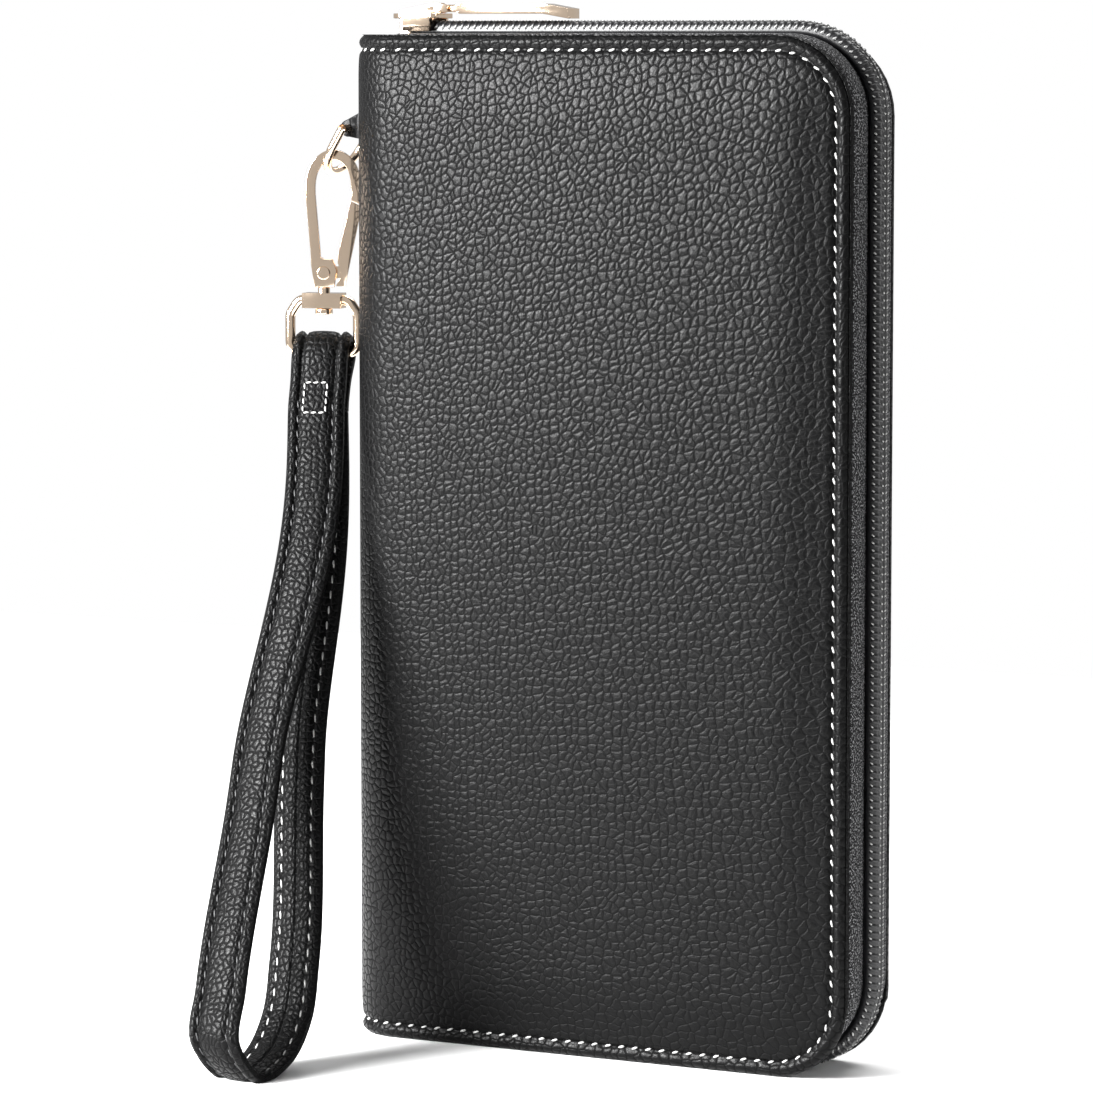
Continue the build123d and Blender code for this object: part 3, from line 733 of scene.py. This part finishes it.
def walk(path, pitch, first=0.0, last=0.0):
    """Evenly spaced (point, direction) pairs along a list of points."""
    found = []
    travelled = 0.0
    wanted = first
    total = sum((Vector(b) - Vector(a)).length for a, b in zip(path, path[1:]))
    for a, b in zip(path, path[1:]):
        a, b = Vector(a), Vector(b)
        step = (b - a).length
        while step > 0 and wanted <= travelled + step and wanted <= total - last:
            found.append((a + (b - a) * ((wanted - travelled) / step), (b - a) / step))
            wanted += pitch
        travelled += step
    return found


print("row tree ready")

# %% [markdown]
# The pale grey edge stitching runs three millimetres inside the edge on three sides of each
# cover, and on across the ends of the spine. Each stitch lies a little across the line, as a
# machine's lockstitch does, and sits in the groove that it pulls into the leather.

# %% Edge stitching
EDGE_PITCH = 3.0


def edge_stitches(name, side, body, line, first):
    """Stitches along a line of flat points, set into the groove of the skin."""
    places = []
    for point, along in walk([(x, 0, z) for x, z in line], EDGE_PITCH, first=first):
        depth = SPINE_R + stand_out(STITCH_IN, point.x, point.z) + 0.16
        here = fold(point.x, point.z, depth, side) / MM
        ahead = fold(point.x + along.x * 0.1, point.z + along.z * 0.1, depth, side) / MM
        away = here - fold(point.x, point.z, depth - 1, side) / MM
        places.append((tuple(here), (ahead - here).normalized(), away))
    return row(name, places, (1.5, 0.52, 0.46), thread, body, slant=-side * 0.3, uneven=0.06)


for cover, side in (("front", -1), ("back", 1)):
    made = edge_stitches(f"{cover}_edge_stitches", side, f"{cover}_cover",
                         edge_path(STITCH_IN, spread(0.5, INNER_X, PANEL_STEPS)), 1.0)
    for end, height in (("low", STITCH_IN), ("high", HEIGHT - STITCH_IN)):
        edge_stitches(f"{cover}_{end}_spine_stitches", side, "spine", [(-0.9, height), (-12.5, height)], 0.6)
    print(made.name, len(made.data.polygons), "faces")

# %% [markdown]
# The coil is a spiral of black nylon: from outside it shows as a row of rounded teeth. Its glints
# are painted: small pale grey pieces lie slanted between the teeth and along the crest. A true
# spiral would cost a great many faces for what is seen of it, so each turn is one slanted grain
# of nylon over the round core.

# %% Coil teeth and their painted glints
TOOTH_PITCH = 1.45


def zip_row(name, side, depth, out, size, material, start, body, slant, tip=0.0, shift=0.0):
    line = [(x, 0, z) for x, z in zip_path(out, start)]
    places = []
    for point, along in walk(line, TOOTH_PITCH, first=shift):
        outside = Vector((0, side, 0)).cross(along) * side
        if outside.dot(Vector((point.x - 50, 0, point.z - 100))) < 0:
            outside = -outside
        away = (outside * math.cos(tip) + Vector((0, side, 0)) * math.sin(tip)).normalized()
        places.append(((point.x, side * depth, point.z), along, away))
    return row(name, places, size, material, body, slant=slant * side)


for cover, side in (("front", -1), ("back", 1)):
    body = f"{cover}_cover"
    start = COIL_START[cover] + 0.3
    teeth = zip_row(f"{cover}_coil_teeth", side, 1.4, 1.2, (1.25, 2.65, 2.75), nylon, start, body, 0.4)
    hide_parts(f"{cover}_zip_coil")
    # Painted glints: pale grey pieces between the teeth and along the crest stand in for the coil's
    # highlights.
    zip_row(f"{cover}_coil_painted_glints", side, 2.4, 1.3, (0.36, 1.15, 0.5), thread, start, body, 0.75, tip=0.9,
            shift=TOOTH_PITCH / 2)
    zip_row(f"{cover}_crest_painted_glints", side, 0.8, 2.45, (0.3, 0.75, 0.3), thread, start, body, 0.6,
            shift=TOOTH_PITCH / 2)
    print(teeth.name, len(teeth.data.polygons), "faces")


# %% [markdown]
# The metal parts and the flat inner panels keep the CAD shape. A copy of each one is merged and
# its sharp edges are rounded, so that they catch the light as real edges do.

# %% Rounded copies of CAD pieces
def rounded_copy(node, width, material, steps=2, angle=30):
    source = frame["nodes"][node]
    data = source.data.copy()
    data.materials.clear()
    data.materials.append(material)
    made = bpy.data.objects.new(f"{node}_piece", data)
    bpy.context.scene.collection.objects.link(made)
    work = bmesh.new()
    work.from_mesh(data)
    bmesh.ops.remove_doubles(work, verts=work.verts, dist=2e-6)
    bmesh.ops.dissolve_limit(work, angle_limit=math.radians(1.0), verts=work.verts, edges=work.edges)
    work.to_mesh(data)
    work.free()
    edge = made.modifiers.new("edge", "BEVEL")
    edge.width = width * MM
    edge.segments = steps
    edge.limit_method = "ANGLE"
    edge.angle_limit = math.radians(angle)
    graph = bpy.context.evaluated_depsgraph_get()
    solid = bpy.data.meshes.new_from_object(made.evaluated_get(graph))
    made.modifiers.clear()
    made.data = solid
    for face in solid.polygons:
        face.use_smooth = True
    solid.set_sharp_from_angle(angle=math.radians(35))
    body = next(b for b, members in bodies.items() if node in members)
    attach(made, body)
    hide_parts(node)
    return made


bodies = frame["record"]["behaviour"]["bodies"]
slots = {s["node"]: s["material_slot"] for s in frame["record"]["subparts"]}
looks = {"gold_metal": (gold, 0.22), "pocket_leather": (smooth_leather, 0.12),
         "lining_cloth": (lining_cloth, 0.12), "board": (board, 0.1), "zip_tape": (tape_cloth, 0.1),
         "zip_coil": (nylon, 0.2), "strap_leather": (strap_leather, 0.3)}
ROUND = {"hook_body": 0.5, "hook_gate": 0.4, "slider_body": 0.35, "pull_bar": 0.25, "strap_ring": 0.3}
DONE = ("cover_leather", "foam")
SWEPT = ("front_zip_tape", "back_zip_tape", "front_zip_coil", "back_zip_coil", "spine_leather",
         "strap_outer_ply", "strap_inner_ply", "ring_tab")
for node, slot in sorted(slots.items()):
    if slot in DONE or node in SWEPT:
        continue
    material, width = looks[slot]
    made = rounded_copy(node, ROUND.get(node, width), material)

# %% [markdown]
# The ring hangs from a short leather tab. The tab wraps closely round the ring's straight bar,
# and its two ends are sewn flat on the spine. Its outline is the same all the way across, so it
# is drawn out of one upright outline and its edges are rounded.

# %% The ring's tab
def prism(name, outline, half, material, width):
    """An upright outline of (x, z) points, drawn out by half on both sides of the middle plane."""
    count = len(outline)
    points = [(x * MM, y * MM, z * MM) for y in (-half, half) for x, z in outline]
    faces = [tuple(range(count)), tuple(range(2 * count - 1, count - 1, -1))]
    faces += [(i, i + count, (i + 1) % count + count, (i + 1) % count) for i in range(count)]
    data = bpy.data.meshes.new(name)
    data.from_pydata(points, [], faces)
    made = as_object(name, data, material)
    edge = made.modifiers.new("edge", "BEVEL")
    edge.width = width * MM
    edge.segments = 3
    edge.limit_method = "ANGLE"
    edge.angle_limit = math.radians(40)
    return finish_mesh(made)


tab_low = node_box("ring_tab")[0]
TAB_WRAP = 1.75
bar_x = tab_low.x + 2.0
bar_z = 186.0
circle = [math.radians(a) for a in range(100, 281, 20)]
tab_outline = [(bar_x + TAB_WRAP * math.cos(a), bar_z + TAB_WRAP * math.sin(a)) for a in circle]
tab_outline += [(-SPINE_R + 0.6, bar_z - 2.2), (-SPINE_R + 0.6, bar_z + 3.4)]
tab = prism("ring_tab_piece", tab_outline, 4.0, rounded_leather, 0.3)
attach(tab, "spine")
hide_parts("ring_tab")
print("ring tab", len(tab.data.polygons), "faces")

# %% [markdown]
# The strap is one long strip of two plies. It folds over the ring's bar, is sewn to itself with a
# small box of stitches, and hangs as a loop that leans forward to the floor. It keeps the shape
# that it rests in, so its middle line is a smooth curve through a few listed points. The
# loop turns back a little lower down, and drifts towards the cover.

# %% The strap's route
post_low, post_high = node_box("swivel_post")
STRAP_X = (post_low.x + post_high.x) / 2
STRAP_Y = (post_low.y + post_high.y) / 2
ROUTE = [(3.5, 127.8), (1.0, 134.0), (-2.6, 140.5), (0, 143.1), (2.6, 140.5), (4.3, 134.0), (7.6, 125.0),
         (22.5, 92.0), (41.5, 52.0), (60.5, 18.0), (65.0, 8.0), (60.0, 1.1), (50.0, 2.8), (42.0, 9.5),
         (36.5, 20.0), (26.0, 52.0), (13.5, 92.0), (3.7, 127.5)]
# Degrees of turn low down and at the ring, and the heights between which the turn changes
LOW_TURN = -8.4
TOP_TURN = 13.0
TWIST_LOW = 60
TWIST_HIGH = 125
DRIFT = 19.8
DRIFT_TOP = 130.0
DRIFT_DROP = 117.0


def strap_place(out, up):
    """Where a point of the flat route stands, with the strap's sideways direction there."""
    share = smooth((up - TWIST_LOW) / (TWIST_HIGH - TWIST_LOW))
    turn = math.radians(LOW_TURN + (TOP_TURN - LOW_TURN) * share)
    drift = DRIFT * (max(DRIFT_TOP - up, 0) / DRIFT_DROP) ** 1.2
    middle = Vector((STRAP_X + out * math.sin(turn) + drift, STRAP_Y - out * math.cos(turn), up))
    return middle, Vector((math.cos(turn), math.sin(turn), 0))


def spline_points(knots, step):
    """A smooth curve through the knots, sampled about every step millimetres."""
    chord = [0.0]
    for a, b in zip(knots, knots[1:]):
        chord.append(chord[-1] + math.dist(a, b))
    slopes = []
    for i in range(len(knots)):
        low, high = max(i - 1, 0), min(i + 1, len(knots) - 1)
        slopes.append([(knots[high][k] - knots[low][k]) / (chord[high] - chord[low]) for k in (0, 1)])
    for i in range(1, len(knots) - 1):
        before, after = chord[i] - chord[i - 1], chord[i + 1] - chord[i]
        for k in (0, 1):
            left = (knots[i][k] - knots[i - 1][k]) / before
            right = (knots[i + 1][k] - knots[i][k]) / after
            slopes[i][k] = (left * after + right * before) / (before + after)
    found = []
    for i in range(len(knots) - 1):
        gap = chord[i + 1] - chord[i]
        count = max(2, round(gap / step))
        for n in range(count):
            t = n / count
            a = (1 + 2 * t) * (1 - t) ** 2
            b = t * (1 - t) ** 2 * gap
            c = t * t * (3 - 2 * t)
            d = t * t * (t - 1) * gap
            found.append(tuple(a * knots[i][k] + b * slopes[i][k] + c * knots[i + 1][k]
                               + d * slopes[i + 1][k] for k in (0, 1)))
    return found + [knots[-1]]


route = spline_points(ROUTE, 1.2)


def strap_frame(index):
    """The middle point, and the directions along, sideways and outwards, at a point of the route."""
    middle, sideways = strap_place(*route[index])
    before = strap_place(*route[max(index - 1, 0)])[0]
    after = strap_place(*route[min(index + 1, len(route) - 1)])[0]
    along = (after - before).normalized()
    sideways = (sideways - along * sideways.dot(along)).normalized()
    return middle, along, sideways, along.cross(sideways).normalized()


strap_length = sum(math.dist(a, b) for a, b in zip(route, route[1:]))
print("strap route", len(route), "points,", round(strap_length, 1), "mm")

# %% [markdown]
# Its section is drawn once: the outer face has rolled edges and two pressed grooves, and the
# inner face has a butt seam down its middle. Carrying it along the route gives both plies in one
# mesh, and puts the grain's map along the strap.

# %% The strap's section and mesh
HALF_WIDE = 5.9
HALF_THICK = 1.1


def face_height(w):
    """The outer face: rolled edges, then a groove 2.2 mm inside each edge."""
    roll = 0.55 * math.exp(-((HALF_WIDE - abs(w)) / 0.55) ** 1.5)
    groove = 0.6 * math.exp(-((abs(w) - 3.6) / 0.36) ** 2)
    rib = 0.22 * math.exp(-((abs(w) - 4.75) / 0.6) ** 2)
    crown = 0.25 * (1 - (w / 3.6) ** 2) if abs(w) < 3.6 else 0
    return HALF_THICK - roll - groove + rib + crown - 0.08


def back_height(w):
    roll = 0.45 * math.exp(-((HALF_WIDE - abs(w)) / 0.55) ** 1.5)
    seam = 0.5 * math.exp(-(w / 0.22) ** 2)
    groove = 0.25 * math.exp(-((abs(w) - 3.7) / 0.4) ** 2)
    return -(HALF_THICK - roll - seam - groove - 0.08)


WIDTHS = [-5.9, -5.7, -5.3, -4.75, -4.2, -3.9, -3.7, -3.5, -3.2, -2.2, -1.2, -0.5, -0.22, 0.0]
WIDTHS += [-w for w in reversed(WIDTHS[:-1])]
SECTION = [(w, face_height(w)) for w in WIDTHS] + [(w, back_height(w)) for w in reversed(WIDTHS)]


def strap_mesh(name):
    points, faces, uvs = [], [], []
    count = len(SECTION)
    travelled = 0.0
    ways = []
    for i in range(len(route)):
        middle, along, sideways, out_way = strap_frame(i)
        if i:
            travelled += math.dist(route[i - 1], route[i])
        ways.append(travelled)
        for w, h in SECTION:
            points.append(tuple((middle + sideways * w + out_way * h) * MM))
    for i in range(len(route) - 1):
        for j in range(count):
            k = (j + 1) % count
            faces.append((i * count + j, i * count + k, (i + 1) * count + k, (i + 1) * count + j))
            turn_j = SECTION[j][0] + (20 if j >= count // 2 else 0)
            turn_k = SECTION[k][0] + (20 if k >= count // 2 else 0)
            uvs.append([(ways[i], turn_j), (ways[i], turn_k), (ways[i + 1], turn_k), (ways[i + 1], turn_j)])
    faces += [tuple(range(count)), tuple((len(route) - 1) * count + j for j in reversed(range(count)))]
    uvs += [[(0, 0)] * count] * 2
    data = bpy.data.meshes.new(name)
    data.from_pydata(points, [], faces)
    layer = data.uv_layers.new(name="strap")
    for face, corners in zip(data.polygons, uvs):
        for loop, (u, v) in zip(face.loop_indices, corners):
            layer.data[loop].uv = (u / 100, v / 100)
    return data


strap = as_object("strap", strap_mesh("strap"), strap_leather)
finish_mesh(strap)
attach(strap, "strap")
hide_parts("strap_outer_ply", "strap_inner_ply")
print("strap", len(strap.data.polygons), "faces")

# %% [markdown]
# The strap is sewn along both edges. The needle's thread lies dark in the pressed grooves of the
# outer face, and the paler one shows on the inner face. Near the ring a small box of stitches
# holds the fold. All of them are rows of the same small shape.

# %% Strap stitching
def strap_row(name, width, height, material, first, last, pitch, size, slant):
    line = []
    for i in range(len(route)):
        middle, along, sideways, out_way = strap_frame(i)
        line.append(middle + sideways * width + out_way * height)
    places = []
    for point, along in walk(line, pitch, first=first, last=last):
        away = along.cross(Vector((1, 0, 0))).normalized()
        places.append((tuple(point), along, away if height > 0 else -away))
    return row(name, places, size, material, "strap", slant=slant, uneven=0.05)


for label, width in (("left", -3.7), ("right", 3.7)):
    strap_row(f"strap_inner_stitches_{label}", width, -0.72, thread, 36, 8, 3.2, (2.0, 0.5, 0.4), 0.15)
    strap_row(f"strap_outer_stitches_{label}", width, 0.68, dark_thread, 36, 8, 3.2, (2.0, 0.5, 0.4), 0.15)


def box_stitches():
    places = []
    index = min(range(20, 60), key=lambda i: abs(route[i][1] - 131.0) + (0 if route[i][0] > 3 else 99))
    middle, along, sideways, out_way = strap_frame(index)
    half_w, half_l = 2.4, 3.2
    corners = [(-half_w, half_l), (half_w, half_l), (half_w, -half_l), (-half_w, -half_l), (-half_w, half_l)]
    for (w0, l0), (w1, l1) in zip(corners, corners[1:]):
        a = middle + sideways * w0 - along * l0 + out_way * 1.4
        b = middle + sideways * w1 - along * l1 + out_way * 1.4
        for point, way in walk([a, b], 1.6, first=0.8, last=0.4):
            places.append((tuple(point), way, out_way))
    return row("strap_box_stitches", places, (1.3, 0.42, 0.4), thread, "strap", slant=0.12)


box_stitches()
print("strap stitches placed")

# %% [markdown]
# The wallet stands on a pale floor in a white room. Black leather shows its grain by reflection
# only, so one soft light stands near, high and to the left, and the rest of the room is dim to
# anything that reflects it. That makes the panel bright at the upper left and dark at the right.

# %% Floor, light and camera
def plane(name, corners):
    data = bpy.data.meshes.new(name)
    data.from_pydata(corners, [], [(0, 1, 2, 3)])
    return as_object(name, data)


floor = plane("floor", [(-0.5, -0.28, 0), (0.6, -0.28, 0), (0.6, 0.6, 0), (-0.5, 0.6, 0)])
floor_paint, _, floor_shader = new_material("pale_floor")
floor_shader.inputs["Base Color"].default_value = (0.9, 0.9, 0.9, 1)
floor_shader.inputs["Roughness"].default_value = 0.9
floor.data.materials.append(floor_paint)

world = bpy.data.worlds.new("studio")
world.use_nodes = True
bpy.context.scene.world = world
backdrop = world.node_tree.nodes["Background"]
seen = add(world.node_tree, "ShaderNodeLightPath")
backdrop.inputs["Color"].default_value = (1, 1, 1, 1)
REFLECTED = 0.5
FILL = 0.25
glossy = math_node(world.node_tree, "MULTIPLY", seen.outputs["Is Glossy Ray"], REFLECTED)
bright = math_node(world.node_tree, "MAXIMUM", seen.outputs["Is Camera Ray"], glossy)
strength = math_node(world.node_tree, "MAXIMUM", bright, FILL)
world.node_tree.links.new(strength, backdrop.inputs["Strength"])


def area_light(name, place, aim, size, power):
    lamp = bpy.data.lights.new(name, "AREA")
    lamp.shape = "RECTANGLE"
    lamp.size, lamp.size_y = size
    lamp.energy = power
    made = bpy.data.objects.new(name, lamp)
    bpy.context.scene.collection.objects.link(made)
    made.location = place
    made.rotation_euler = (Vector(aim) - Vector(place)).to_track_quat("-Z", "Y").to_euler()
    return made


area_light("key", (-0.29, -0.42, 0.31), (0.0, 0, 0.15), (0.25, 0.35), 19.0)
area_light("top", (0.05, 0.55, 1.2), (0.05, 0, 0.1), (1.2, 0.8), 20.0)
area_light("side", (1.0, 0.05, 0.3), (0.1, 0, 0.1), (0.15, 0.8), 3.0)

camera_data = bpy.data.cameras.new("camera")
camera_data.lens = 165.6
camera_data.sensor_width = 36.0
camera_data.clip_end = 50
camera = bpy.data.objects.new("camera", camera_data)
bpy.context.scene.collection.objects.link(camera)
camera.location = (0.4920, -0.9018, 0.2043)
aim = Vector((0.02395, 0.01204, 0.1005)) - camera.location
camera.rotation_euler = aim.to_track_quat("-Z", "Y").to_euler()
bpy.context.scene.camera = camera
bpy.context.scene.view_settings.view_transform = "Standard"
print("camera, floor and", len(bpy.data.lights), "lights")
